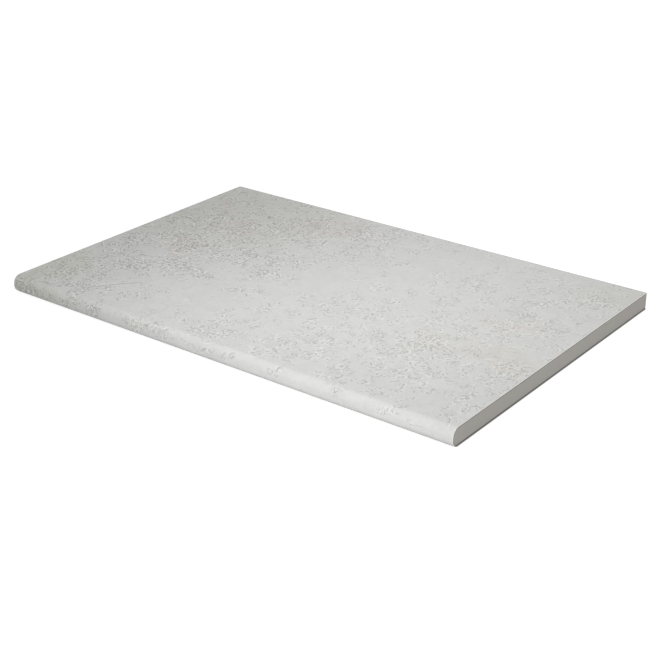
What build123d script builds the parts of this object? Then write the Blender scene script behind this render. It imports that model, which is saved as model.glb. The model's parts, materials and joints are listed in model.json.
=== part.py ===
from build123d import *
from math import atan2, degrees, floor
import os

# Bullnose tile: one slab of pressed and fired porcelain, with one long edge rounded over into a nose.
# X runs along the nose, Y from the nose back to the square edge, and Z up from the bedding face.
# The origin is the middle of the underside. All sizes are in millimetres.

# The slab
tile_length = 600.0
tile_width = 400.0
tile_thickness = 20.0

# The nose: two rounds with a short upright flat between them, its middle a little below the slab's
nose_flat = 2.5
nose_flat_drop = 0.75

# The small bevel ground along the square edges and round both ends of the nose
arris = 0.5

# The keying relief pressed into the underside: shallow square cells between ribs, where the mortar grips
cell_mouth = 20.0
cell_rib = 4.0
cell_depth = 0.8
cell_draft = 1.0
plain_border = 12.0

# The rounds take up what the flat leaves of the thickness, above it and below it
nose_top_radius = tile_thickness / 2 + nose_flat_drop - nose_flat / 2
nose_bottom_radius = tile_thickness / 2 - nose_flat_drop - nose_flat / 2

nose_y = -tile_width / 2
back_y = tile_width / 2


def slab():
    """The section, square at the back and rounded at the nose, run out along the tile's length.

    The edges round both ends and along the back are then eased by the arris.
    """
    with BuildPart() as body:
        with BuildSketch(Plane.YZ.offset(-tile_length / 2)):
            with BuildLine():
                lower_centre = (nose_y + nose_bottom_radius, nose_bottom_radius)
                lower_round = CenterArc(lower_centre, nose_bottom_radius, 270, -90)
                upper_centre = (nose_y + nose_top_radius, tile_thickness - nose_top_radius)
                upper_round = CenterArc(upper_centre, nose_top_radius, 180, -90)
                Line(lower_round @ 1, upper_round @ 0)
                Polyline(upper_round @ 1, (back_y, tile_thickness), (back_y, 0), lower_round @ 0)
            make_face()
        extrude(amount=tile_length)
        end_outlines = body.edges().group_by(Axis.X)[0] + body.edges().group_by(Axis.X)[-1]
        back_edges = body.edges().filter_by(Axis.X).group_by(Axis.Y)[-1]
        chamfer(end_outlines + back_edges, arris)
    return body.part


def keying_cell():
    """One shallow cell, wider at its mouth so that the press lets go of it."""
    wall_slope = degrees(atan2(cell_draft, cell_depth))
    with BuildPart() as cell:
        with BuildSketch():
            Rectangle(cell_mouth, cell_mouth)
        extrude(amount=cell_depth, taper=wall_slope)
    return cell.part


def cells_along(flat_length):
    """How many cells a stretch of flat underside holds, with a plain border left at both its ends."""
    pitch = cell_mouth + cell_rib
    return floor((flat_length - 2 * plain_border + cell_rib) / pitch)


def bullnose_tile():
    """The slab with its field of cells, centred on the flat part of the underside."""
    flat_front_y = nose_y + nose_bottom_radius
    pitch = cell_mouth + cell_rib
    columns = cells_along(tile_length)
    rows = cells_along(back_y - flat_front_y)
    with BuildPart() as tile:
        add(slab())
        with Locations((0, (flat_front_y + back_y) / 2, 0)):
            with GridLocations(pitch, pitch, columns, rows):
                add(keying_cell(), mode=Mode.SUBTRACT)
    return tile.part


os.makedirs("parts", exist_ok=True)
export_step(bullnose_tile(), "parts/bullnose_tile.step")
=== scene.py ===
# %% [markdown]
# A bullnose tile is one slab of pressed and fired porcelain with one long edge rounded over, its
# nose. The top and the nose carry a printed, matt glaze that looks like pale limestone. The ends,
# the back and the underside are the bare body. So the slab is one swept shape, and most of the
# work goes into its finishes.
#
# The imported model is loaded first, as a fixed frame that the slab's box is taken from.

# %% Load the frame
import json
from math import cos, floor, pi, radians, sin, sqrt

import bmesh
import bpy
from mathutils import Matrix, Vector

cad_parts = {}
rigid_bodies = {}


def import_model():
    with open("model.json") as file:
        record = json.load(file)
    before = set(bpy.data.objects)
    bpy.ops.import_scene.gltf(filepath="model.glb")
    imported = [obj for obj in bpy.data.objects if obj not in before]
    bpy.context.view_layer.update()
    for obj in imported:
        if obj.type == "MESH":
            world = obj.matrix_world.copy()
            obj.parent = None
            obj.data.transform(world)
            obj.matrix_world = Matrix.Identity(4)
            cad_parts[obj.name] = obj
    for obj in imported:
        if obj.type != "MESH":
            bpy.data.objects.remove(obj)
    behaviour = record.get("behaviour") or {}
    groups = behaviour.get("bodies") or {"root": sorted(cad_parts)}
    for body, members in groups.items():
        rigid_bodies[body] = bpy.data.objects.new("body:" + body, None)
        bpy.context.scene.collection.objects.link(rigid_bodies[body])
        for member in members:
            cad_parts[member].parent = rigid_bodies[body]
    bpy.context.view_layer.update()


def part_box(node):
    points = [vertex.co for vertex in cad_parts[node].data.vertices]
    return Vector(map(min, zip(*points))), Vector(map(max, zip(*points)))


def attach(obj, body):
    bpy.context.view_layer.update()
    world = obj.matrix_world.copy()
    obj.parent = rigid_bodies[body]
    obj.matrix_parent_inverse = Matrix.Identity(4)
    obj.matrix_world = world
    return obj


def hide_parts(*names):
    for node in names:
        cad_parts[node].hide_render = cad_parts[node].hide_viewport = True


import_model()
slab_low, slab_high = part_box("bullnose_tile")
slab_length, slab_width, slab_thickness = slab_high - slab_low
MM = 0.001
print("slab in mm:", [round(size / MM, 2) for size in (slab_length, slab_width, slab_thickness)])

# %% [markdown]
# Every colour is written as the hex value that a paint chart or a picture would give. Blender
# mixes light in linear values, so one function turns the written colour into those.
#
# A second function adds one node to a tree. Its inputs may be plain values or another node's
# output, which is then linked. With it a tree reads from top to bottom like a recipe. A third
# empties the tree that a new material or world starts with.

# %% Three helpers: colours, nodes and empty trees
def colour(hex_code):
    """A written sRGB colour as linear red, green, blue and alpha."""
    channels = [int(hex_code[i:i + 2], 16) / 255 for i in (1, 3, 5)]
    linear = [c / 12.92 if c <= 0.04045 else ((c + 0.055) / 1.055) ** 2.4 for c in channels]
    return (*linear, 1.0)


def add_node(tree, kind, inputs=None, **settings):
    """Add a node, set its properties, then fill or link its inputs, by name or by number."""
    node = tree.nodes.new(kind)
    for name, value in settings.items():
        setattr(node, name, value)
    for key, value in (inputs or {}).items():
        if isinstance(value, bpy.types.NodeSocket):
            tree.links.new(value, node.inputs[key])
        else:
            node.inputs[key].default_value = value
    return node


def empty_tree(owner):
    """The node tree of a material or a world, with nothing in it yet."""
    owner.use_nodes = True
    owner.node_tree.nodes.clear()
    return owner.node_tree


print("the written grey #808080 is", round(colour("#808080")[0], 3), "of white in light")

# %% [markdown]
# The camera comes next, because it decides how large anything shows. The slab's straight edges
# give it away: they meet the picture at angles that only one lens, height and turn explain. The
# camera looks 37.5 degrees round from the nose's front, 24.6 degrees above the floor, from
# 1.58 metres, through a lens of 77 mm on a 36 mm sensor. It stands a little below the line to
# the slab's middle, which lifts the slab in the picture without tilting or shifting the lens.

# %% Camera
camera_azimuth = radians(37.5)
camera_elevation = radians(24.645)
camera_distance = 1.5832
camera_drop = 0.0373
camera_left = 0.0008
lens_length = 77.055
sensor_width = 36

back = Vector((
    sin(camera_azimuth) * cos(camera_elevation),
    -cos(camera_azimuth) * cos(camera_elevation),
    sin(camera_elevation),
))
right = Vector((cos(camera_azimuth), sin(camera_azimuth), 0))
up = back.cross(right)

camera_data = bpy.data.cameras.new("photo_camera")
camera_data.lens = lens_length
camera_data.sensor_width = sensor_width
camera = bpy.data.objects.new("photo_camera", camera_data)
bpy.context.scene.collection.objects.link(camera)
camera.location = (slab_low + slab_high) / 2 + back * camera_distance - up * camera_drop
camera.location -= right * camera_left
camera.rotation_euler = back.to_track_quat("Z", "Y").to_euler()
bpy.context.scene.camera = camera
print("camera stands at", [round(c, 3) for c in camera.location])

# %% [markdown]
# The slab follows a rule: one outline run out along a straight line. It could be a box with a
# bevel, but the nose has two rounds of different radius and a flat between them, and a bevel
# gives only one. Geometry Nodes states the rule directly. A rectangle gets its two front corners
# filleted, the top one larger, and Curve to Mesh runs it out and closes its ends.
#
# The underside of a pressed tile is a field of shallow square cells between ribs, where mortar
# grips. The same tree makes one tapered cell, repeats it on a grid of points and cuts it out.

# %% Sizes of the slab that its box does not give
nose_flat = 2.5 * MM
nose_flat_drop = 0.75 * MM
nose_top_radius = slab_thickness / 2 + nose_flat_drop - nose_flat / 2
nose_bottom_radius = slab_thickness / 2 - nose_flat_drop - nose_flat / 2
nose_steps = 24
arris = 0.5 * MM

cell_mouth = 20 * MM
cell_rib = 4 * MM
cell_depth = 0.8 * MM
cell_draft = 1 * MM
plain_border = 12 * MM
cell_pitch = cell_mouth + cell_rib

flat_front = slab_low.y + nose_bottom_radius
cell_columns = floor((slab_length - 2 * plain_border + cell_rib) / cell_pitch)
cell_rows = floor((slab_high.y - flat_front - 2 * plain_border + cell_rib) / cell_pitch)
print("nose radii in mm:", [round(r / MM, 2) for r in (nose_top_radius, nose_bottom_radius)])
print("cells:", cell_columns, "by", cell_rows)

# %% The four finishes, filled in further down
glaze = bpy.data.materials.new("matt_limestone_glaze")
body = bpy.data.materials.new("bare_porcelain_body")
engobe_and_highlight = bpy.data.materials.new("arris_engobe_and_highlight")
cut_glaze = bpy.data.materials.new("cut_glaze_edge")
for material in (glaze, body, engobe_and_highlight, cut_glaze):
    empty_tree(material)
print("finishes:", [material.name for material in (glaze, body, engobe_and_highlight, cut_glaze)])

# %% The slab's tree and its named sizes
slab_inputs = {
    "Length": slab_length,
    "Width": slab_width,
    "Thickness": slab_thickness,
    "Top radius": nose_top_radius,
    "Bottom radius": nose_bottom_radius,
    "Round steps": nose_steps,
    "Cell mouth": cell_mouth,
    "Cell pitch": cell_pitch,
    "Cell depth": cell_depth,
    "Cell draft": cell_draft,
    "Cell columns": cell_columns,
    "Cell rows": cell_rows,
    "Cells' middle": (flat_front + slab_high.y) / 2,
    "Flat's front": flat_front,
}
tree = bpy.data.node_groups.new("bullnose_slab", "GeometryNodeTree")
for name, value in slab_inputs.items():
    socket_type = "NodeSocketInt" if isinstance(value, int) else "NodeSocketFloat"
    tree.interface.new_socket(name, in_out="INPUT", socket_type=socket_type)
tree.interface.new_socket("Geometry", in_out="OUTPUT", socket_type="NodeSocketGeometry")
size = add_node(tree, "NodeGroupInput").outputs
print("named sizes:", len(slab_inputs))

# %% The outline
# Curve to Mesh turns it half round, so its corner 3 becomes the nose's top and its corner 0 the
# nose's bottom.
outline = add_node(tree, "GeometryNodeCurvePrimitiveQuadrilateral",
                   {"Width": size["Width"], "Height": size["Thickness"]}, mode="RECTANGLE")
corner = add_node(tree, "GeometryNodeInputIndex").outputs[0]
radius = 0.0
for number, corner_radius in ((3, size["Top radius"]), (0, size["Bottom radius"])):
    chosen = add_node(tree, "FunctionNodeCompare", {2: corner, 3: number},
                      data_type="INT", operation="EQUAL").outputs[0]
    radius = add_node(tree, "ShaderNodeMath", {0: chosen, 1: corner_radius, 2: radius},
                      operation="MULTIPLY_ADD").outputs[0]
rounded = add_node(tree, "GeometryNodeFilletCurve",
                   {"Curve": outline.outputs[0], "Radius": radius, "Count": size["Round steps"]},
                   mode="POLY").outputs[0]
print("outline:", len(tree.nodes), "nodes")

# %% The run along the nose, and the lift that stands the slab on the floor
weld = 0.001 * MM
ends = []
for share in (-0.5, 0.5):
    reach = add_node(tree, "ShaderNodeMath", {0: size["Length"], 1: share}, operation="MULTIPLY")
    ends.append(add_node(tree, "ShaderNodeCombineXYZ", {"X": reach.outputs[0]}).outputs[0])
run = add_node(tree, "GeometryNodeCurvePrimitiveLine", {"Start": ends[0], "End": ends[1]}).outputs[0]
swept = add_node(tree, "GeometryNodeCurveToMesh",
                 {"Curve": run, "Profile Curve": rounded, "Fill Caps": True}).outputs[0]
half = add_node(tree, "ShaderNodeMath", {0: size["Thickness"], 1: 0.5}, operation="MULTIPLY").outputs[0]
lift = add_node(tree, "ShaderNodeCombineXYZ", {"Z": half}).outputs[0]
lifted = add_node(tree, "GeometryNodeTransform", {"Geometry": swept, "Translation": lift}).outputs[0]
slab = add_node(tree, "GeometryNodeMergeByDistance", {"Geometry": lifted, "Distance": weld}).outputs[0]
slab = add_node(tree, "GeometryNodeSetMaterial", {"Geometry": slab, "Material": body}).outputs[0]
print("with the run:", len(tree.nodes), "nodes")

# %% One keying cell
# A cone with four sides is a tapered square. It starts below the underside by its own depth and
# with the same slope, so that the cut leaves no skin.
corner_share = sqrt(0.5)
mouth = add_node(tree, "ShaderNodeMath", {0: size["Cell mouth"], 1: corner_share},
                 operation="MULTIPLY").outputs[0]
spread = add_node(tree, "ShaderNodeMath", {0: size["Cell draft"], 1: 2 * corner_share},
                  operation="MULTIPLY").outputs[0]
radius_below = add_node(tree, "ShaderNodeMath", {0: mouth, 1: spread}, operation="ADD").outputs[0]
radius_above = add_node(tree, "ShaderNodeMath", {0: mouth, 1: spread}, operation="SUBTRACT").outputs[0]
tall = add_node(tree, "ShaderNodeMath", {0: size["Cell depth"], 1: 2.0}, operation="MULTIPLY").outputs[0]
cell = add_node(tree, "GeometryNodeMeshCone", {
    "Vertices": 4,
    "Radius Bottom": radius_below,
    "Radius Top": radius_above,
    "Depth": tall,
}).outputs["Mesh"]
cell = add_node(tree, "GeometryNodeTransform", {"Geometry": cell, "Rotation": (0, 0, radians(45))}).outputs[0]
cell = add_node(tree, "GeometryNodeSetMaterial", {"Geometry": cell, "Material": body}).outputs[0]
print("with the cell:", len(tree.nodes), "nodes")

# %% The grid of cells, cut out of the slab
grid_sizes = []
for count in (size["Cell columns"], size["Cell rows"]):
    gaps = add_node(tree, "ShaderNodeMath", {0: count, 1: 1.0}, operation="SUBTRACT").outputs[0]
    grid_sizes.append(add_node(tree, "ShaderNodeMath", {0: gaps, 1: size["Cell pitch"]},
                               operation="MULTIPLY").outputs[0])
grid = add_node(tree, "GeometryNodeMeshGrid", {
    "Size X": grid_sizes[0],
    "Size Y": grid_sizes[1],
    "Vertices X": size["Cell columns"],
    "Vertices Y": size["Cell rows"],
}).outputs["Mesh"]
below = add_node(tree, "ShaderNodeMath", {0: size["Cell depth"], 1: -1.0}, operation="MULTIPLY").outputs[0]
grid_place = add_node(tree, "ShaderNodeCombineXYZ", {"Y": size["Cells' middle"], "Z": below}).outputs[0]
grid = add_node(tree, "GeometryNodeTransform", {"Geometry": grid, "Translation": grid_place}).outputs[0]
cells = add_node(tree, "GeometryNodeInstanceOnPoints", {"Points": grid, "Instance": cell}).outputs[0]
cells = add_node(tree, "GeometryNodeRealizeInstances", {"Geometry": cells}).outputs[0]
cut = add_node(tree, "GeometryNodeMeshBoolean", {"Mesh 1": slab, "Mesh 2": cells},
               operation="DIFFERENCE", solver="EXACT").outputs["Mesh"]
whole = add_node(tree, "GeometryNodeRealizeInstances", {"Geometry": cut}).outputs[0]
print("with the grid:", len(tree.nodes), "nodes")

# %% Where the glaze goes
# The body is bare all over, and the glaze goes on what faces up and on the whole nose.
normal = add_node(tree, "ShaderNodeSeparateXYZ",
                  {0: add_node(tree, "GeometryNodeInputNormal").outputs["Normal"]}).outputs
place = add_node(tree, "ShaderNodeSeparateXYZ",
                 {0: add_node(tree, "GeometryNodeInputPosition").outputs[0]}).outputs
faces_up = add_node(tree, "FunctionNodeCompare", {0: normal["Z"], 1: 0.5},
                    data_type="FLOAT", operation="GREATER_THAN").outputs[0]
on_nose = add_node(tree, "FunctionNodeCompare", {0: place["Y"], 1: size["Flat's front"]},
                   data_type="FLOAT", operation="LESS_THAN").outputs[0]
glazed = add_node(tree, "FunctionNodeBooleanMath", {0: faces_up, 1: on_nose}, operation="OR").outputs[0]
dressed = add_node(tree, "GeometryNodeSetMaterial",
                   {"Geometry": whole, "Selection": glazed, "Material": glaze}).outputs[0]
add_node(tree, "NodeGroupOutput", {"Geometry": dressed})
print("whole tree:", len(tree.nodes), "nodes")

# %% Run the tree and keep its result as a plain mesh
carrier = bpy.data.objects.new("slab_carrier", bpy.data.meshes.new("slab_carrier"))
bpy.context.scene.collection.objects.link(carrier)
modifier = carrier.modifiers.new("slab", "NODES")
modifier.node_group = tree
for item in tree.interface.items_tree:
    if item.in_out == "INPUT":
        modifier[item.identifier] = slab_inputs[item.name]
evaluated = carrier.evaluated_get(bpy.context.evaluated_depsgraph_get())
slab_mesh = bpy.data.meshes.new_from_object(evaluated)
bpy.data.objects.remove(carrier)
tile = bpy.data.objects.new("bullnose_tile_glazed", slab_mesh)
bpy.context.scene.collection.objects.link(tile)
print("slab:", len(slab_mesh.vertices), "vertices,", len(slab_mesh.polygons), "faces")

# %% [markdown]
# A wheel grinds a small bevel, the arris, along the square edges and round both ends of the
# nose. It could be a part of the outline, but then the ends would stay sharp. A Bevel modifier
# that is limited by angle finds exactly the edges that the wheel meets, because the steps of
# the rounds turn by under four degrees each.

# %% The arris
tile.data.materials.append(engobe_and_highlight)
bevel = tile.modifiers.new("arris", "BEVEL")
bevel.width = arris
bevel.segments = 1
bevel.limit_method = "ANGLE"
bevel.angle_limit = radians(60)
bevel.material = tile.data.materials.find(engobe_and_highlight.name)
beveled = bpy.data.meshes.new_from_object(tile.evaluated_get(bpy.context.evaluated_depsgraph_get()))
tile.modifiers.remove(bevel)
tile.data = beveled

# Below the glaze the wheel meets only body
slots = [material.name for material in tile.data.materials]
for face in tile.data.polygons:
    low_down = face.center.z < arris and face.center.y > flat_front
    if low_down and face.material_index == slots.index(engobe_and_highlight.name):
        face.material_index = slots.index(body.name)
print("with the arris:", len(tile.data.polygons), "faces")

# %% [markdown]
# The same wheel squares the ends and the back after the glaze is fired, so the cut shows how
# thick the glaze is: a thin line, darker than the body, just inside the top edge and round the
# nose. It could be painted on by distance from the edge, but the edge bends round the nose. An
# inset of each ground face gives the line faces of its own that follow it.

# %% The cut edge of the glaze
# The real layer is about half a millimetre. It is drawn twice as deep, so that it shows.
glaze_depth = 1.0 * MM
# Only the two ends and the back face so squarely left, right or backwards
square_on = 0.99

tile.data.materials.append(cut_glaze)
slots = [material.name for material in tile.data.materials]
mesh = bmesh.new()
mesh.from_mesh(tile.data)
ground_faces = []
for face in mesh.faces:
    if abs(face.normal.x) > square_on or face.normal.y > square_on:
        ground_faces.append(face)
ring = bmesh.ops.inset_individual(mesh, faces=ground_faces, thickness=glaze_depth,
                                  use_even_offset=True)["faces"]
line_floor = slab_high.z - arris - glaze_depth
for face in ring:
    middle = face.calc_center_median()
    if middle.z > line_floor or middle.y < flat_front:
        face.material_index = slots.index(cut_glaze.name)
mesh.to_mesh(tile.data)
mesh.free()
print("ground faces:", len(ground_faces), "faces round them:", len(ring))

# %% Smooth rounds and crisp edges
# The steps of the rounds turn by under four degrees and the arris by 45, so 20 parts the two
tile.data.shade_smooth()
tile.data.set_sharp_from_angle(angle=radians(20))
print("tile:", len(tile.data.vertices), "vertices,", len(tile.data.polygons), "faces, slots", slots)

# %% [markdown]
# The glaze is a matt porcelain glaze with a print under it that looks like pale limestone. The stone's ground
# is light and nearly plain. In it lie beds of broken shell: clouds of small rings, ovals, hooks and dots, one
# to seven millimetres across, each a dark printed stroke with a lighter rim. The rim stands a little proud in
# the bump, and its lighter colour is a painted highlight of that relief.
#
# A picture could be wrapped round the slab. Nodes are used instead, because they stay sharp at
# any distance. The print runs on over the nose, so the pattern has to follow it. It is drawn on
# a flat sheet: one coordinate runs along the slab, and the other across the top and then down
# round the nose.

# %% The flat sheet of the print
def print_sheet(tree):
    """A place on the sheet: metres along the slab, metres across the top and down the nose."""
    place = add_node(tree, "ShaderNodeTexCoord").outputs["Object"]
    along, across, height = add_node(tree, "ShaderNodeSeparateXYZ", {0: place}).outputs
    past = add_node(tree, "ShaderNodeMath", {0: across, 1: slab_low.y + nose_top_radius},
                    operation="SUBTRACT").outputs[0]
    forward = add_node(tree, "ShaderNodeMath", {0: past, 1: -1.0}, operation="MULTIPLY").outputs[0]
    forward = add_node(tree, "ShaderNodeMath", {0: forward, 1: 0.0}, operation="MAXIMUM").outputs[0]
    over = add_node(tree, "ShaderNodeMath", {0: height, 1: slab_high.z - nose_top_radius},
                    operation="SUBTRACT").outputs[0]
    turned = add_node(tree, "ShaderNodeMath", {0: forward, 1: over}, operation="ARCTAN2").outputs[0]
    flat = add_node(tree, "ShaderNodeMath", {0: past, 1: 0.0}, operation="MAXIMUM").outputs[0]
    down = add_node(tree, "ShaderNodeMath", {0: turned, 1: -nose_top_radius, 2: flat},
                    operation="MULTIPLY_ADD").outputs[0]
    sheet_y = add_node(tree, "ShaderNodeMath", {0: down, 1: slab_low.y + nose_top_radius},
                       operation="ADD").outputs[0]
    return add_node(tree, "ShaderNodeCombineXYZ", {"X": along, "Y": sheet_y}).outputs[0]


print("the nose turns down past y =", round((slab_low.y + nose_top_radius) / MM, 1), "mm")

# %% Two helpers: an oval patch and a frayed place
def soft_patch(tree, place, x, y, half_length, half_width, turn):
    """One in the middle of an oval patch in mm, falling to nought at its rim."""
    local = add_node(tree, "ShaderNodeMapping", {
        "Vector": place,
        "Location": (x * MM, y * MM, 0),
        "Rotation": (0, 0, radians(turn)),
        "Scale": (half_length * MM, half_width * MM, 1),
    }, vector_type="TEXTURE").outputs[0]
    return add_node(tree, "ShaderNodeTexGradient", {"Vector": local},
                    gradient_type="SPHERICAL").outputs["Fac"]


def frayed(tree, place, grain, push, detail):
    """The place pushed about by a noise with this grain, both in mm, so that what is drawn frays."""
    noise = add_node(tree, "ShaderNodeTexNoise",
                     {"Vector": place, "Scale": 1 / (grain * MM), "Detail": detail}).outputs["Color"]
    centred = add_node(tree, "ShaderNodeVectorMath", {0: noise, 1: (0.5, 0.5, 0.5)},
                       operation="SUBTRACT").outputs[0]
    return add_node(tree, "ShaderNodeVectorMath", {0: centred, 1: (push * MM, push * MM, 0), 2: place},
                    operation="MULTIPLY_ADD").outputs[0]


print("helpers so far: colour, add_node, empty_tree, print_sheet, soft_patch, frayed")

# %% [markdown]
# The beds of shell lie where they do on the real tile, so they are placed one by one, as oval patches with
# ragged rims. They add up to one value, the crowding, which says how likely a curl is at each place. A noise
# breaks it into clumps of about two centimetres, and small flat flakes of plain stone are taken out again.

# %% The beds of shell
# Each: middle x and y, half length and half width in mm, turn in degrees, how crowded it is
shell_beds = [
    (-170, 115, 135, 100, 0, 0.58),
    (-30, 155, 38, 45, 0, 0.45),
    (-230, 0, 70, 60, 0, 0.40),
    (-240, -130, 65, 75, 0, 0.55),
    (-150, 20, 60, 35, 30, 0.25),
    (180, -95, 130, 85, 0, 0.50),
    (210, 70, 70, 60, 0, 0.30),
    (-10, -165, 70, 28, 0, 0.40),
    (-200, 73, 22, 22, 0, 0.40),
    (-140, 133, 20, 20, 0, 0.40),
    (-73, 7, 16, 30, 0, 0.60),
    (-200, -17, 30, 14, -40, 0.50),
    (-147, -58, 26, 9, -5, 1.00),
    (-211, -88, 12, 9, 0, 1.00),
    (-218, -174, 16, 9, 0, 1.00),
    (-267, -150, 20, 35, 0, 0.40),
    (180, -57, 26, 14, -20, 0.80),
    (285, -60, 25, 18, 0, 0.50),
    (227, 60, 22, 20, 0, 0.50),
    (267, 140, 26, 18, 0, 0.70),
    (67, -40, 18, 14, 0, 0.50),
    (127, 85, 20, 30, 0, 0.35),
    (200, 0, 25, 18, 0, 0.35),
    (-33, -107, 10, 9, 0, 0.50),
    (-70, -85, 9, 9, 0, 0.40),
    # On the nose
    (-280, -203, 30, 10, 0, 1.15),
    (-204, -203, 22, 9, 0, 1.20),
    (-168, -204, 11, 7, 0, 1.25),
    (-80, -203, 32, 9, 0, 1.60),
    (0, -204, 22, 7, 0, 1.20),
    (32, -204, 16, 6, 20, 1.10),
    (88, -204, 8, 6, 0, 1.20),
    (163, -200, 18, 8, -35, 1.30),
    (232, -200, 20, 8, 0, 1.00),
    # Places that are plainer than the rest
    (-13, 0, 30, 45, 0, -0.35),
    (85, 110, 40, 75, -20, -0.20),
    (-100, -140, 50, 30, 0, -0.20),
]
# A patch fades from its middle on, so it is drawn wider than the bed that it stands for
bed_spread = 1.7
print("beds of shell:", len(shell_beds))

# %% How crowded the shell is at each place
clump_size = 22
flake_size = 15
# The nose is nearly plain low down, most of all right of its middle
calm_strip = (130, -216, 330, 30, 0)
calm_strength = -1.3
# A noise seldom leaves the middle of its range, so a Map Range takes about 0.3 to 0.7 as its ends


def shell_crowding(tree, sheet):
    """About nought on plain stone and one in the thick of a bed, in ragged clumps."""
    pushed = frayed(tree, sheet, grain=40, push=35, detail=3.0)
    crowding = 0.0
    for x, y, half_length, half_width, turn, strength in shell_beds:
        patch = soft_patch(tree, pushed, x, y, bed_spread * half_length, bed_spread * half_width, turn)
        crowding = add_node(tree, "ShaderNodeMath", {0: patch, 1: strength, 2: crowding},
                            operation="MULTIPLY_ADD").outputs[0]
    clump = add_node(tree, "ShaderNodeTexNoise", {
        "Vector": sheet, "W": 3.0, "Scale": 1 / (clump_size * MM), "Detail": 3.0, "Roughness": 0.65,
    }, noise_dimensions="4D").outputs["Fac"]
    clump = add_node(tree, "ShaderNodeMapRange", {
        "Value": clump, "From Min": 0.30, "From Max": 0.70, "To Min": -0.52, "To Max": 0.60,
    }, clamp=False).outputs[0]
    crowding = add_node(tree, "ShaderNodeMath", {0: crowding, 1: clump}, operation="ADD").outputs[0]
    flake = add_node(tree, "ShaderNodeTexVoronoi", {"Vector": pushed, "Scale": 1 / (flake_size * MM)},
                     voronoi_dimensions="2D").outputs["Color"]
    flake = add_node(tree, "ShaderNodeSeparateColor", {0: flake}).outputs[1]
    plain = add_node(tree, "ShaderNodeMapRange", {
        "Value": flake, "From Min": 0.10, "From Max": 0.40, "To Min": -0.45, "To Max": 0.12,
    }).outputs[0]
    crowding = add_node(tree, "ShaderNodeMath", {0: crowding, 1: plain}, operation="ADD").outputs[0]
    calm = soft_patch(tree, sheet, *calm_strip)
    return add_node(tree, "ShaderNodeMath", {0: calm, 1: calm_strength, 2: crowding},
                    operation="MULTIPLY_ADD").outputs[0]


print("clumps of", clump_size, "mm and flakes of", flake_size, "mm")

# %% [markdown]
# A curl is a piece of a ring. Voronoi cells scatter them: each cell has one curl in its middle, and the
# cell's random colour gives its turn, its radius and whether it is there at all. Its dark stroke lies where
# the distance from the middle equals the radius, and its rim, painted lighter as a painted highlight, just
# outside. Modelled curls would need hundreds of thousands of faces for a relief of a few hundredths of a
# millimetre, so they stay in the material.

# %% One stroke with its rim
# The rim's distance from the stroke, in line widths
rim_offset = 1.1


def stroke_and_rim(tree, off_line, line, share):
    """How dark the stroke and how light its rim is, from the distance off the line."""
    layers = []
    # The first pass is the printed stroke, the second its rim, whose lightness is a painted highlight of the
    # rim's relief
    for offset in (0.0, rim_offset * line * MM):
        gap = add_node(tree, "ShaderNodeMath", {0: off_line, 1: offset}, operation="SUBTRACT").outputs[0]
        gap = add_node(tree, "ShaderNodeMath", {0: gap}, operation="ABSOLUTE").outputs[0]
        stroke = add_node(tree, "ShaderNodeMapRange",
                          {"Value": gap, "From Max": line * MM, "To Min": 1.0, "To Max": 0.0},
                          interpolation_type="SMOOTHSTEP").outputs[0]
        layers.append(add_node(tree, "ShaderNodeMath", {0: stroke, 1: share},
                               operation="MULTIPLY").outputs[0])
    return layers


print("a rim lies", rim_offset, "line widths outside its stroke")

# %% One layer of curls
# The crowding at which the first curls appear, and the one at which a bed is full
curls_begin = -0.3
curls_full = 1.0
# How far past its threshold a cell's chance has to be for its curl to have its whole strength
curl_fade = 0.35


def curls(tree, place, crowding, spacing, small, large, line, narrow, opening, most, shift):
    """How dark the curls and how light their rims are. Each cell, spacing wide, has one curl: an
    arc with a radius from small to large, all in mm. The opening is the cosine that ends it, narrow
    its width over its length, and most the largest share of the cells that have a curl."""
    shifted = add_node(tree, "ShaderNodeVectorMath", {0: place, 1: (shift, 0.37 * shift, 0)},
                       operation="ADD").outputs[0]
    cells = add_node(tree, "ShaderNodeTexVoronoi", {"Vector": shifted, "Scale": 1 / (spacing * MM)},
                     voronoi_dimensions="2D").outputs
    chance = add_node(tree, "ShaderNodeSeparateColor", {0: cells["Color"]}).outputs
    local = add_node(tree, "ShaderNodeVectorMath", {0: shifted, 1: cells["Position"]},
                     operation="SUBTRACT").outputs[0]
    angle = add_node(tree, "ShaderNodeMath", {0: chance[0], 1: 2 * pi}, operation="MULTIPLY").outputs[0]
    local = add_node(tree, "ShaderNodeVectorRotate", {"Vector": local, "Angle": angle},
                     rotation_type="Z_AXIS").outputs[0]
    oval = add_node(tree, "ShaderNodeVectorMath", {0: local, 1: (1.0, narrow, 0.0)},
                    operation="MULTIPLY").outputs[0]
    reach = add_node(tree, "ShaderNodeVectorMath", {0: oval}, operation="LENGTH").outputs["Value"]
    radius = add_node(tree, "ShaderNodeMapRange",
                      {"Value": chance[1], "To Min": small * MM, "To Max": large * MM}).outputs[0]
    off_line = add_node(tree, "ShaderNodeMath", {0: reach, 1: radius}, operation="SUBTRACT").outputs[0]
    aside = add_node(tree, "ShaderNodeSeparateXYZ", {0: oval}).outputs["X"]
    past_end = add_node(tree, "ShaderNodeMath", {0: reach, 1: -opening, 2: aside},
                        operation="MULTIPLY_ADD").outputs[0]
    arc = add_node(tree, "ShaderNodeMapRange", {"Value": past_end, "From Max": 0.5 * line * MM},
                   interpolation_type="SMOOTHSTEP").outputs[0]
    least = add_node(tree, "ShaderNodeMapRange", {
        "Value": crowding, "From Min": curls_begin, "From Max": curls_full,
        "To Min": 1.0, "To Max": 1 - most,
    }).outputs[0]
    over = add_node(tree, "ShaderNodeMath", {0: chance[2], 1: least}, operation="SUBTRACT").outputs[0]
    present = add_node(tree, "ShaderNodeMapRange", {"Value": over, "From Max": curl_fade}).outputs[0]
    arc = add_node(tree, "ShaderNodeMath", {0: arc, 1: present}, operation="MULTIPLY").outputs[0]
    return stroke_and_rim(tree, off_line, line, arc)


print("curls begin at a crowding of", curls_begin, "and fill a bed at", curls_full)
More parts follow.
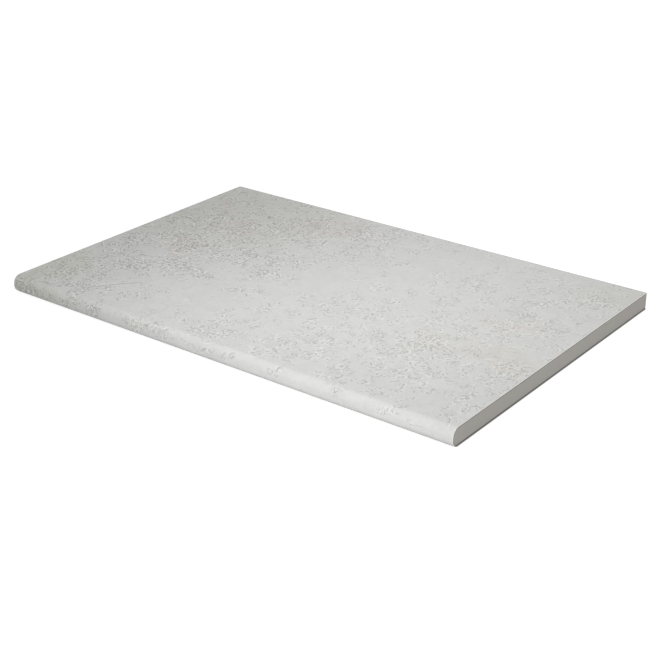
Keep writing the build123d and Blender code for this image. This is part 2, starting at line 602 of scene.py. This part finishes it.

# %% [markdown]
# A few single marks catch the eye: a long hairline crack on the left and some larger shells. Each is given
# one by one as a stroke with a slight bow. Two dot products measure how far a place lies along the stroke and
# how far beside it. A Mapping node for each does the same, but with them the whole glaze rendered black, most
# likely because a shader holds only so many values.

# %% The lone strokes
# Each: middle x and y, half length in mm, turn in degrees, radius of its bow and line width in mm
lone_strokes = [
    (-190, -146, 30, 52, 150, 1.9),
    (-291, -67, 7, -38, 100, 1.2),
    (-273, -82, 6, -35, 60, 1.2),
    (-235, -119, 7, -70, 30, 1.2),
    (-212, -88, 3, 70, 30, 2.2),
    (-159, -57, 6, 75, 12, 1.8),
    (-135, -58, 5, -50, 20, 1.9),
    (-222, -172, 7, -40, 10, 2.0),
    (-208, -173, 5, 40, 20, 2.0),
    (-176, 86, 7, -62, 40, 1.5),
    (-183, 180, 4, -45, 20, 1.5),
    (-226, 187, 4, -40, 20, 1.5),
    (-262, 48, 3, 0, 20, 2.0),
    (-28, 176, 3, 20, 20, 2.0),
    (67, -170, 4, -30, 20, 1.8),
    (97, 80, 4, -40, 20, 1.6),
    (-60, -170, 4, -45, 20, 1.7),
]
stroke_darkness = 0.9
# The share of its half length at which a stroke starts to fade towards its end
stroke_taper = 0.7


def lone_stroke(tree, place, x, y, half_length, turn, bow_radius, line):
    """A crack or a large shell in the stone: a bowed stroke about its middle, in mm and degrees."""
    middle = Vector((x, y, 0)) * MM
    ahead = Vector((cos(radians(turn)), sin(radians(turn)), 0))
    aside = Vector((-ahead.y, ahead.x, 0))
    distances = []
    for way in (ahead, aside):
        distance = add_node(tree, "ShaderNodeVectorMath", {0: place, 1: way},
                            operation="DOT_PRODUCT").outputs["Value"]
        distances.append(add_node(tree, "ShaderNodeMath", {0: distance, 1: way.dot(middle)},
                                  operation="SUBTRACT").outputs[0])
    along, across = distances
    squared = add_node(tree, "ShaderNodeMath", {0: along, 1: along}, operation="MULTIPLY").outputs[0]
    bowed = add_node(tree, "ShaderNodeMath", {0: squared, 1: 0.5 / (bow_radius * MM), 2: across},
                     operation="MULTIPLY_ADD").outputs[0]
    reach = add_node(tree, "ShaderNodeMath", {0: along}, operation="ABSOLUTE").outputs[0]
    within = add_node(tree, "ShaderNodeMapRange", {
        "Value": reach, "From Min": stroke_taper * half_length * MM, "From Max": half_length * MM,
        "To Min": stroke_darkness, "To Max": 0.0,
    }).outputs[0]
    return stroke_and_rim(tree, bowed, line, within)


print("lone strokes:", len(lone_strokes))

# %% All the marks together
# Each: spacing, smallest and largest radius and line width in mm, its width over its length, the
# cosine that ends the arc, the most of its cells that are filled, shift of the cells in metres
curl_layers = [
    (3.8, 0.5, 1.5, 0.95, 0.9, -0.3, 0.80, 0.0),
    (5.6, 1.0, 2.4, 1.3, 0.7, -0.2, 0.85, 1.3),
    (9.0, 1.8, 3.6, 1.6, 0.6, 0.1, 0.75, 2.9),
    (8.0, 0.1, 0.9, 1.9, 0.65, -1.1, 0.70, 4.7),
]
# The nose's own layer, finer than the top's
nose_curls = (2.9, 0.4, 1.1, 0.8, 0.7, -0.3, 0.95, 6.1)
# The nose as a patch so long that it fades only across
nose_band = (0, -204, 3000, 16, 0)
# What the band's middle adds to the crowding of the top's layers
coarse_on_nose = -0.35
# What the nose's own layer gets in the band's middle, and away from it
fine_on_nose = 0.4
fine_off_nose = -1.6


def strongest(tree, marks, more):
    """Two sets of marks as one: at each place the darker stroke and the lighter rim."""
    return [add_node(tree, "ShaderNodeMath", {0: new, 1: old}, operation="MAXIMUM").outputs[0]
            for new, old in zip(more, marks)]


def all_marks(tree, sheet, drawn, crowding):
    """How dark the strokes and how light the rims are, coarse on the top and fine on the nose."""
    nose = soft_patch(tree, sheet, *nose_band)
    on_top = add_node(tree, "ShaderNodeMath", {0: nose, 1: coarse_on_nose, 2: crowding},
                      operation="MULTIPLY_ADD").outputs[0]
    on_nose = add_node(tree, "ShaderNodeMath",
                       {0: nose, 1: fine_on_nose - fine_off_nose, 2: fine_off_nose},
                       operation="MULTIPLY_ADD").outputs[0]
    on_nose = add_node(tree, "ShaderNodeMath", {0: on_nose, 1: crowding}, operation="ADD").outputs[0]
    marks = (0.0, 0.0)
    for numbers in lone_strokes:
        marks = strongest(tree, marks, lone_stroke(tree, drawn, *numbers))
    for numbers in curl_layers:
        marks = strongest(tree, marks, curls(tree, drawn, on_top, *numbers))
    return strongest(tree, marks, curls(tree, drawn, on_nose, *nose_curls))


print("layers of curls:", len(curl_layers) + 1)

# %% [markdown]
# Limestone is never quite one colour. Faint washes lie over the ground, pinkish where the shell is thick,
# greenish grey towards the far left corner and warm near the right end. They are placed one by one like the
# beds, with rims that a noise breaks into flecks. Under them the ground varies a little from plate to plate,
# with a fine cloudy grain.

# %% The faint washes of colour
# Each: middle x and y, half length and half width in mm, turn in degrees, colour, strength
washes = [
    (-225, 125, 200, 150, 36, "#CFD0C8", 1.0),
    (-100, 150, 60, 45, 10, "#D5CECB", 0.8),
    (-195, 72, 36, 44, 20, "#D5CECB", 0.8),
    (-255, 122, 36, 30, 0, "#D3CDCB", 0.7),
    (-215, -5, 45, 24, -55, "#D4CECA", 0.8),
    (-285, -150, 60, 70, 0, "#CFCFC4", 1.0),
    (-262, -208, 70, 20, 0, "#CFCFC4", 0.8),
    (255, -45, 70, 38, 5, "#D3CFC8", 0.9),
    (175, -52, 24, 20, 0, "#D4D1C8", 0.6),
    (212, 25, 30, 26, 0, "#D4CFC9", 0.7),
    (246, 42, 26, 24, 0, "#D4CFCA", 0.7),
    (276, 170, 60, 40, 0, "#D0D0C9", 0.8),
]
fleck_size = 14


def wash_colours(tree, sheet, ground):
    """The ground with each wash laid over it, its rim broken by a soft noise."""
    pushed = frayed(tree, sheet, grain=30, push=60, detail=3.0)
    flecks = add_node(tree, "ShaderNodeTexNoise", {
        "Vector": sheet, "Scale": 1 / (fleck_size * MM), "Detail": 4.0, "Roughness": 0.65,
    }).outputs["Fac"]
    flecks = add_node(tree, "ShaderNodeMapRange", {
        "Value": flecks, "From Min": 0.36, "From Max": 0.62, "To Min": 0.1, "To Max": 1.0,
    }).outputs[0]
    for x, y, half_length, half_width, turn, tint, strength in washes:
        patch = soft_patch(tree, pushed, x, y, half_length, half_width, turn)
        share = add_node(tree, "ShaderNodeMapRange", {"Value": patch, "From Max": 0.6, "To Max": strength},
                         interpolation_type="SMOOTHSTEP").outputs[0]
        share = add_node(tree, "ShaderNodeMath", {0: share, 1: flecks}, operation="MULTIPLY").outputs[0]
        ground = add_node(tree, "ShaderNodeMix", {0: share, 6: ground, 7: colour(tint)},
                          data_type="RGBA").outputs[2]
    return ground


print("washes:", len(washes))

# %% The stone between the marks
plate_size = 15
grain_size = 6


def stone_ground(tree, sheet, drawn, crowding):
    """The ground's colour: slightly darker in the beds, washed, and varied by plate and by grain."""
    bed = add_node(tree, "ShaderNodeMapRange", {"Value": crowding, "From Max": 1.0}).outputs[0]
    ground = add_node(tree, "ShaderNodeMix", {0: bed, 6: colour("#D6D6D4"), 7: colour("#D3D3D0")},
                      data_type="RGBA").outputs[2]
    ground = wash_colours(tree, sheet, ground)
    plate = add_node(tree, "ShaderNodeTexVoronoi", {"Vector": drawn, "Scale": 1 / (plate_size * MM)},
                     voronoi_dimensions="2D").outputs["Color"]
    plate = add_node(tree, "ShaderNodeSeparateColor", {0: plate}).outputs[0]
    plate = add_node(tree, "ShaderNodeMapRange", {"Value": plate, "To Min": 0.975, "To Max": 1.02}).outputs[0]
    ground = add_node(tree, "ShaderNodeVectorMath", {0: ground, 3: plate}, operation="SCALE").outputs[0]
    grain = add_node(tree, "ShaderNodeTexNoise", {
        "Vector": sheet, "Scale": 1 / (grain_size * MM), "Detail": 4.0, "Roughness": 0.75,
    }).outputs["Fac"]
    grain = add_node(tree, "ShaderNodeMapRange", {
        "Value": grain, "From Min": 0.3, "From Max": 0.7, "To Min": 0.955, "To Max": 1.045,
    }).outputs[0]
    return add_node(tree, "ShaderNodeVectorMath", {0: ground, 3: grain}, operation="SCALE").outputs[0]


print("plates of", plate_size, "mm and grain of", grain_size, "mm")

# %% The matt limestone glaze
# How much a rim's painted highlight lightens the ground and a stroke darkens it
rim_painted_highlight = 0.22
stroke_dark = 0.395
mark_relief = 0.05 * MM
# The marks are strongest in the middle of this patch, towards the left, and least outside it
strong_patch = (-270, 30, 340, 380, 0)
least_strength = 0.85
more_strength = 0.6


def fill_glaze(tree):
    """Matt porcelain glaze, sprayed over a printed slip and fired. It scatters light nearly
    evenly, with one broad soft sheen along the nose, and its marks are a little sunk or raised."""
    sheet = print_sheet(tree)
    crowding = shell_crowding(tree, sheet)
    drawn = frayed(tree, sheet, grain=4, push=1.8, detail=1.0)
    dark, light = all_marks(tree, sheet, drawn, crowding)
    ground = stone_ground(tree, sheet, drawn, crowding)
    strong = soft_patch(tree, sheet, *strong_patch)
    strength = add_node(tree, "ShaderNodeMath", {0: strong, 1: more_strength, 2: least_strength},
                        operation="MULTIPLY_ADD").outputs[0]
    # The rims are painted lighter, a painted highlight of their raised relief, and the printed strokes darker
    shade = add_node(tree, "ShaderNodeMath", {0: light, 1: rim_painted_highlight}, operation="MULTIPLY").outputs[0]
    shade = add_node(tree, "ShaderNodeMath", {0: dark, 1: -stroke_dark, 2: shade},
                     operation="MULTIPLY_ADD").outputs[0]
    shade = add_node(tree, "ShaderNodeMath", {0: shade, 1: strength, 2: 1.0},
                     operation="MULTIPLY_ADD").outputs[0]
    printed = add_node(tree, "ShaderNodeVectorMath", {0: ground, 3: shade}, operation="SCALE").outputs[0]
    relief = add_node(tree, "ShaderNodeMath", {0: light, 1: dark}, operation="SUBTRACT").outputs[0]
    bump = add_node(tree, "ShaderNodeBump", {"Height": relief, "Strength": 1.0, "Distance": mark_relief})
    surface = add_node(tree, "ShaderNodeBsdfPrincipled", {
        "Base Color": printed, "Roughness": 0.6, "IOR": 1.5, "Normal": bump.outputs[0],
    })
    add_node(tree, "ShaderNodeOutputMaterial", {"Surface": surface.outputs[0]})


fill_glaze(glaze.node_tree)
print("glaze:", len(glaze.node_tree.nodes), "nodes")

# %% [markdown]
# The ends and the back are ground through to the body, which is a warm pale grey, dull and slightly gritty.
# Its foot is painted darker over the lowest two millimetres, because the photo has a dark line there: a
# painted contact shadow where the tile meets the floor. Two more finishes are only lines: the arris, painted
# near white, partly the white engobe under the glaze that the wheel lays open and partly a painted highlight
# along the edge, and the cut glaze just inside it. Each could be one flat colour, but a ground surface shows
# its grain, so each gets a noise of its own size.

# %% The bare body
# The real grit is about a tenth of a millimetre. It is drawn coarser, so that it shows.
grit_size = 1.2
cloud_size = 45
# The foot's band, a painted contact shadow: how dark it is, and the heights between which it fades
foot_shadow_dark = 0.34
foot_low = 0.8 * MM
foot_high = 2.4 * MM


def fill_body(tree):
    """Pressed porcelain, fired and ground with a wheel: an even, dull surface with no sheen."""
    place = add_node(tree, "ShaderNodeTexCoord").outputs["Object"]
    cloudy = add_node(tree, "ShaderNodeTexNoise",
                      {"Vector": place, "Scale": 1 / (cloud_size * MM), "Detail": 2.0}).outputs["Fac"]
    cloudy = add_node(tree, "ShaderNodeMapRange",
                      {"Value": cloudy, "From Min": 0.35, "From Max": 0.65}).outputs[0]
    base = add_node(tree, "ShaderNodeMix", {0: cloudy, 6: colour("#B9B3AE"), 7: colour("#B5B5AD")},
                    data_type="RGBA").outputs[2]
    grit = add_node(tree, "ShaderNodeTexNoise",
                    {"Vector": place, "Scale": 1 / (grit_size * MM), "Detail": 3.0}).outputs["Fac"]
    shade = add_node(tree, "ShaderNodeMapRange", {
        "Value": grit, "From Min": 0.3, "From Max": 0.7, "To Min": 0.95, "To Max": 1.05,
    }).outputs[0]
    # The foot is painted darker over its lowest two millimetres: a painted contact shadow
    height = add_node(tree, "ShaderNodeSeparateXYZ", {0: place}).outputs["Z"]
    foot = add_node(tree, "ShaderNodeMapRange", {
        "Value": height, "From Min": foot_low, "From Max": foot_high, "To Min": foot_shadow_dark,
    }).outputs[0]
    shade = add_node(tree, "ShaderNodeMath", {0: shade, 1: foot}, operation="MULTIPLY").outputs[0]
    base = add_node(tree, "ShaderNodeVectorMath", {0: base, 3: shade}, operation="SCALE").outputs[0]
    bump = add_node(tree, "ShaderNodeBump", {"Height": grit, "Strength": 0.6, "Distance": 0.05 * MM})
    surface = add_node(tree, "ShaderNodeBsdfPrincipled", {
        "Base Color": base, "Roughness": 0.8, "IOR": 1.5, "Normal": bump.outputs[0],
    })
    add_node(tree, "ShaderNodeOutputMaterial", {"Surface": surface.outputs[0]})


fill_body(body.node_tree)
print("body:", len(body.node_tree.nodes), "nodes")

# %% The two lines along the ground edges
def fill_line(tree, grain, dark, light, roughness):
    """Two close colours mixed by a noise whose grain is in mm."""
    place = add_node(tree, "ShaderNodeTexCoord").outputs["Object"]
    noise = add_node(tree, "ShaderNodeTexNoise",
                     {"Vector": place, "Scale": 1 / (grain * MM), "Detail": 3.0}).outputs["Fac"]
    base = add_node(tree, "ShaderNodeMix", {0: noise, 6: colour(dark), 7: colour(light)},
                    data_type="RGBA").outputs[2]
    surface = add_node(tree, "ShaderNodeBsdfPrincipled",
                       {"Base Color": base, "Roughness": roughness, "IOR": 1.5})
    add_node(tree, "ShaderNodeOutputMaterial", {"Surface": surface.outputs[0]})


# Engobe, a fired white slip, scuffed by the wheel, with a painted highlight along the edge: the lightest
# thing on the tile
fill_line(engobe_and_highlight.node_tree, 3, "#E6E4DE", "#F8F7F3", roughness=0.6)
# Fired glaze seen from its cut side, glassy and finely chipped: it swallows light and looks dark
fill_line(cut_glaze.node_tree, 2, "#7C7974", "#8E8B86", roughness=0.7)
print("lines:", len(engobe_and_highlight.node_tree.nodes), "and", len(cut_glaze.node_tree.nodes), "nodes")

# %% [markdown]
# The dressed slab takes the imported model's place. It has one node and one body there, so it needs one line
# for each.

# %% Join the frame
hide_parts("bullnose_tile")
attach(tile, "root")
print("joined:", tile.name)

# %% [markdown]
# The tile lies on white paper under soft light. Two panels above give the top its slow change
# from a bright middle to darker far corners. A low one in front draws the sheen on the nose,
# one at the right lights the bare end, and one behind keeps the back edge from going black.
# One big softbox would be simpler, but a large far lamp lights the whole top alike, so the two
# above are small and near.

# %% The lamps
def area_light(name, place, target, size_x, size_y, power):
    """A rectangular panel in metres and watts that faces its target and isn't seen itself."""
    data = bpy.data.lights.new(name, "AREA")
    data.shape = "RECTANGLE"
    data.size = size_x
    data.size_y = size_y
    data.energy = power
    lamp = bpy.data.objects.new(name, data)
    lamp.location = place
    lamp.rotation_euler = (Vector(target) - Vector(place)).to_track_quat("-Z", "Y").to_euler()
    lamp.visible_camera = False
    bpy.context.scene.collection.objects.link(lamp)


area_light("overhead_softbox", (0.11, 0.02, 0.465), (0.30, 0.23, 0), 0.30, 0.90, 0.74)
area_light("overhead_fill", (0.15, -0.10, 0.42), (0.15, -0.10, 0), 0.30, 0.50, 0.39)
area_light("front_softbox", (0.22, -0.72, 0.07), (0.06, -0.2, 0), 0.30, 0.11, 1.80)
area_light("end_softbox", (1.6, 0.0, 0.5), (0.3, 0, 0), 0.6, 0.4, 5.75)
area_light("back_softbox", (-0.9, 1.5, 0.35), (-0.1, 0.1, 0), 0.6, 0.4, 2.5)
print("lamps:", len(bpy.data.lights))

# %% [markdown]
# The background is white, but white surroundings at full strength would wash the tile out. So
# the world and the floor are white only to what the camera, a reflection or a clear material
# sees, and they light the tile more gently.

# %% The world
sky_light = 0.397


def seen_directly(tree):
    """One for a ray from the camera, a reflection or a clear material, and else nought."""
    rays = add_node(tree, "ShaderNodeLightPath").outputs
    seen = add_node(tree, "ShaderNodeMath", {0: rays["Is Camera Ray"], 1: rays["Is Glossy Ray"]},
                    operation="MAXIMUM").outputs[0]
    return add_node(tree, "ShaderNodeMath", {0: seen, 1: rays["Is Transmission Ray"]},
                    operation="MAXIMUM").outputs[0]


world = bpy.data.worlds.new("studio")
bpy.context.scene.world = world
sky_tree = empty_tree(world)
strength = add_node(sky_tree, "ShaderNodeMapRange",
                    {"Value": seen_directly(sky_tree), "To Min": sky_light, "To Max": 1.0}).outputs[0]
sky = add_node(sky_tree, "ShaderNodeBackground", {"Color": colour("#FFFFFF"), "Strength": strength})
add_node(sky_tree, "ShaderNodeOutputWorld", {"Surface": sky.outputs[0]})
print("the world lights the tile at", sky_light)

# %% The floor's sheet
floor_reach = 6.0
floor_mesh = bpy.data.meshes.new("floor")
floor_mesh.from_pydata([(-floor_reach, -floor_reach, 0), (floor_reach, -floor_reach, 0),
                        (floor_reach, floor_reach, 0), (-floor_reach, floor_reach, 0)],
                       [], [(0, 1, 2, 3)])
floor_piece = bpy.data.objects.new("floor", floor_mesh)
bpy.context.scene.collection.objects.link(floor_piece)
paper = bpy.data.materials.new("white_paper_floor")
floor_mesh.materials.append(paper)
print("floor:", 2 * floor_reach, "metres square")

# %% [markdown]
# Paper is matt and keeps the tile's shadow. A glow lifts it to the white background, and the shadow shows
# through as it does on a bright studio table. Right at the tile's foot the photo has a thin dark line of
# contact, and the paper carries it as a painted contact shadow. The distance to the rectangle that the tile
# stands on draws it: inside the line the paper is painted darker and doesn't glow.

# %% The paper
# The contact shadow is painted on the paper: dark near the foot and fading out, reaching a little further
# under the nose
foot_under_nose = 0.85 * MM
foot_inset = 1.2 * MM
contact_shadow_core = 1.0 * MM
contact_shadow_fade = 2.8 * MM
paper_glow = 0.85


def distance_from_foot(tree):
    """How far a place on the floor is from the rectangle that the tile stands on."""
    foot_front = flat_front - foot_under_nose
    foot_back = slab_high.y - foot_inset
    middle = (0, (foot_front + foot_back) / 2, 0)
    half_size = (slab_high.x - foot_inset, (foot_back - foot_front) / 2, 0)
    away = add_node(tree, "ShaderNodeTexCoord").outputs["Object"]
    for operation, inputs in (("SUBTRACT", {1: middle}), ("ABSOLUTE", {}), ("SUBTRACT", {1: half_size}),
                              ("MAXIMUM", {1: (0, 0, 0)})):
        away = add_node(tree, "ShaderNodeVectorMath", {0: away, **inputs}, operation=operation).outputs[0]
    return add_node(tree, "ShaderNodeVectorMath", {0: away}, operation="LENGTH").outputs["Value"]


def fill_paper(tree):
    """White matt paper: diffuse to the light, with a glow to the eye."""
    seen = seen_directly(tree)
    # A painted contact shadow: near the foot the paper is painted dark and its glow fades out
    open_floor = add_node(tree, "ShaderNodeMapRange", {
        "Value": distance_from_foot(tree), "From Min": contact_shadow_core, "From Max": contact_shadow_fade,
    }).outputs[0]
    contact_shadow_colour = add_node(tree, "ShaderNodeMix", {0: open_floor, 6: colour("#444444"), 7: colour("#AAAAAA")},
                      data_type="RGBA").outputs[2]
    matte = add_node(tree, "ShaderNodeBsdfDiffuse", {"Color": contact_shadow_colour}).outputs[0]
    power = add_node(tree, "ShaderNodeMath", {0: open_floor, 1: paper_glow}, operation="MULTIPLY").outputs[0]
    glow = add_node(tree, "ShaderNodeEmission", {"Color": colour("#FFFFFF"), "Strength": power}).outputs[0]
    lifted = add_node(tree, "ShaderNodeAddShader", {0: matte, 1: glow}).outputs[0]
    shown = add_node(tree, "ShaderNodeMixShader", {0: seen, 1: matte, 2: lifted}).outputs[0]
    add_node(tree, "ShaderNodeOutputMaterial", {"Surface": shown})


fill_paper(empty_tree(paper))
print("paper:", len(paper.node_tree.nodes), "nodes")

# %% [markdown]
# The Standard view shows each colour as it was written.

# %% Colour management
bpy.context.scene.view_settings.view_transform = "Standard"
